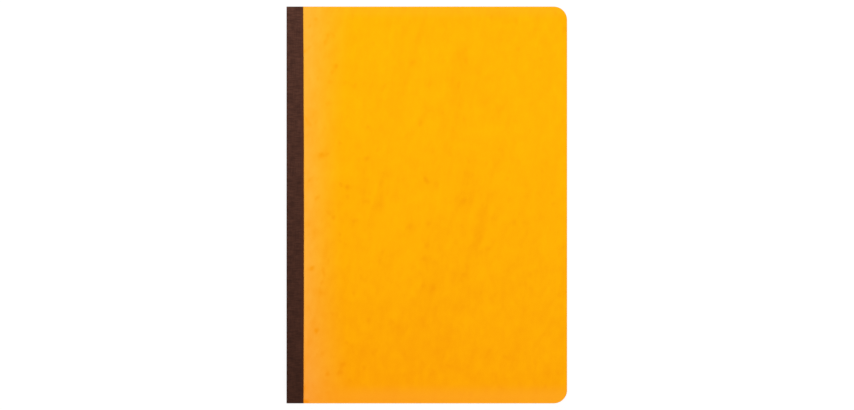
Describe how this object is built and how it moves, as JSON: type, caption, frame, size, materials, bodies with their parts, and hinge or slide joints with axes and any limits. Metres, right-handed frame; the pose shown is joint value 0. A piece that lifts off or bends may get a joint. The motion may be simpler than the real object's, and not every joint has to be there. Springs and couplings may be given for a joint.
{
  "type": "columnar ledger book",
  "caption": "Sewn A4 columnar account book with orange pressboard covers, brown cloth spine tape and ruled pages that open at the middle and at both covers.",
  "frame": {"origin": "under the centre of the closed book, in the plane of the spine tape's underside", "axes": "+X from the spine to the fore-edge, +Y from the tail to the head, +Z from the back cover to the front cover"},
  "size_m": [0.21, 0.297, 0.008],
  "materials": {
    "pressboard": "lustrous, mottled in the sheet",
    "book_cloth": "fine woven book cloth, matt",
    "endpaper": "smooth matt paper",
    "ledger_paper": "smooth writing paper, ruled in columns",
    "thread": "twisted cotton thread",
    "spine_lining": "open crash cloth set in glue"
  },
  "bodies": {
    "back_half": {"back_tape_spine": "book_cloth", "back_spine_lining": "spine_lining", "back_flyleaf": "endpaper", "section_4_sheet_1": "ledger_paper", "section_4_sheet_2": "ledger_paper", "section_4_sheet_3": "ledger_paper", "section_4_sheet_4": "ledger_paper", "section_4_thread": "thread", "section_5_sheet_1": "ledger_paper", "section_5_sheet_2": "ledger_paper", "section_5_sheet_3": "ledger_paper", "section_5_sheet_4": "ledger_paper", "section_5_thread": "thread", "section_3_sheet_1_lower_leaf": "ledger_paper", "section_3_sheet_2_lower_leaf": "ledger_paper", "section_3_sheet_3_lower_leaf": "ledger_paper", "section_3_sheet_4_lower_leaf": "ledger_paper", "section_3_thread": "thread"},
    "front_half": {"front_tape_spine": "book_cloth", "front_spine_lining": "spine_lining", "front_flyleaf": "endpaper", "section_1_sheet_1": "ledger_paper", "section_1_sheet_2": "ledger_paper", "section_1_sheet_3": "ledger_paper", "section_1_sheet_4": "ledger_paper", "section_1_thread": "thread", "section_2_sheet_1": "ledger_paper", "section_2_sheet_2": "ledger_paper", "section_2_sheet_3": "ledger_paper", "section_2_sheet_4": "ledger_paper", "section_2_thread": "thread", "section_3_sheet_1_upper_leaf": "ledger_paper", "section_3_sheet_2_upper_leaf": "ledger_paper", "section_3_sheet_3_upper_leaf": "ledger_paper"},
    "front_cover": {"front_board": "pressboard", "front_pastedown": "endpaper", "front_tape_flap": "book_cloth"},
    "back_cover": {"back_board": "pressboard", "back_pastedown": "endpaper", "back_tape_flap": "book_cloth"},
    "centre_leaf": {"section_3_sheet_4_upper_leaf": "ledger_paper"}
  },
  "joints": [
    {"name": "middle_opening", "type": "hinge", "parent": "back_half", "child": "front_half", "pos_m": [-0.10505, 0, 0.00402], "axis": [0, -1, 0], "range_deg": [0, 179.99]},
    {"name": "front_cover_opening", "type": "hinge", "parent": "front_half", "child": "front_cover", "pos_m": [-0.10504, 0, 0.00806], "axis": [0, -1, 0], "range_deg": [0, 179.99]},
    {"name": "back_cover_opening", "type": "hinge", "parent": "back_half", "child": "back_cover", "pos_m": [-0.10504, 0, -0.00002], "axis": [0, 1, 0], "range_deg": [0, 179.99]},
    {"name": "centre_leaf_turn", "type": "hinge", "parent": "back_half", "child": "centre_leaf", "pos_m": [-0.10505, 0, 0.00402], "axis": [0, -1, 0], "range_deg": [0, 90]}
  ],
  "couplings": [
    {"joint": "centre_leaf_turn", "follows": "middle_opening", "ratio": 0.5}
  ]
}
